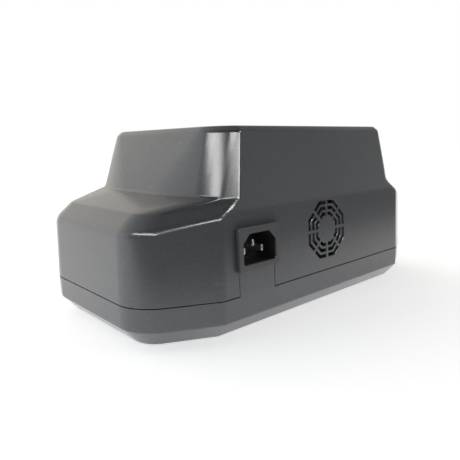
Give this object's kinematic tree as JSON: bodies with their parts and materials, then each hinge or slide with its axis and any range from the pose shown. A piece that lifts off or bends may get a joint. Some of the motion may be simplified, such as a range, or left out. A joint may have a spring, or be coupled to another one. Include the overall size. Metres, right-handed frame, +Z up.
{
  "type": "floor scrubber battery charger",
  "caption": "Mains battery charger in a moulded housing with sloped shoulders and a raised block, an octagonal fan grille, a cooling fan and a recessed mains inlet.",
  "frame": {"origin": "centre of the overall box in plan, in the plane that the feet stand on", "axes": "+Z up, +Y out of the back face with the mains inlet and the fan grille, +X towards the end beside the inlet"},
  "size_m": [0.2596, 0.152, 0.1154],
  "materials": {
    "housing": "fine satin grain",
    "inlet_plastic": "satin",
    "nickel": "bright plate",
    "brown_insulation": "satin",
    "earth_insulation": "satin",
    "blue_insulation": "satin",
    "fan_plastic": "satin",
    "brass_sleeve": "turned",
    "copper": "enamelled winding",
    "red_insulation": "satin",
    "black_insulation": "satin",
    "steel": "zinc plated",
    "board": "solder mask",
    "ferrite": "sintered",
    "tape": "polyester tape",
    "sleeve": "shrink sleeve",
    "film_box": "moulded",
    "epoxy": "moulded",
    "fuse": "glazed body with plated caps",
    "aluminium": "extruded",
    "rubber": "matt",
    "lamp_red": "translucent",
    "lamp_yellow": "translucent",
    "lamp_green": "translucent"
  },
  "bodies": {
    "housing": {"board_screw_back_left": "steel", "board_screw_back_right": "steel", "board_screw_front_left": "steel", "board_screw_front_right": "steel", "bottom_tray": "housing", "bridge_rectifier": "epoxy", "bulk_capacitor_1": "sleeve", "bulk_capacitor_2": "sleeve", "case_screw_back_left": "steel", "case_screw_back_right": "steel", "case_screw_front_left": "steel", "case_screw_front_right": "steel", "fan_bearing": "brass_sleeve", "fan_frame": "fan_plastic", "fan_lead_black": "black_insulation", "fan_lead_red": "red_insulation", "fan_screw_left_high": "steel", "fan_screw_left_low": "steel", "fan_screw_right_high": "steel", "fan_screw_right_low": "steel", "fan_stator": "copper", "filter_capacitor": "film_box", "inlet_pin_earth": "nickel", "inlet_pin_live": "nickel", "inlet_pin_neutral": "nickel", "inlet_wire_earth": "earth_insulation", "inlet_wire_live": "brown_insulation", "inlet_wire_neutral": "blue_insulation", "lamp_board": "board", "lead_grommet": "rubber", "line_choke": "copper", "main_board": "board", "mains_fuse": "fuse", "mains_inlet": "inlet_plastic", "output_capacitor_1": "sleeve", "output_capacitor_2": "sleeve", "output_capacitor_3": "sleeve", "output_choke": "copper", "output_rectifier": "epoxy", "output_relay": "epoxy", "rectifier_heat_sink": "aluminium", "rubber_foot_back_left": "rubber", "rubber_foot_back_right": "rubber", "rubber_foot_front_left": "rubber", "rubber_foot_front_right": "rubber", "status_lamp_green": "lamp_green", "status_lamp_red": "lamp_red", "status_lamp_yellow": "lamp_yellow", "switch_heat_sink": "aluminium", "switch_transistor_1": "epoxy", "switch_transistor_2": "epoxy", "top_cover": "housing", "transformer_core": "ferrite", "transformer_winding": "tape"},
    "rotor": {"fan_rotor": "fan_plastic"}
  },
  "joints": [
    {"name": "fan_spin", "type": "hinge", "parent": "housing", "child": "rotor", "pos_m": [-0.001, 0.06571, 0.04982], "axis": [0, 0.9995, 0.0323], "continuous": true}
  ]
}
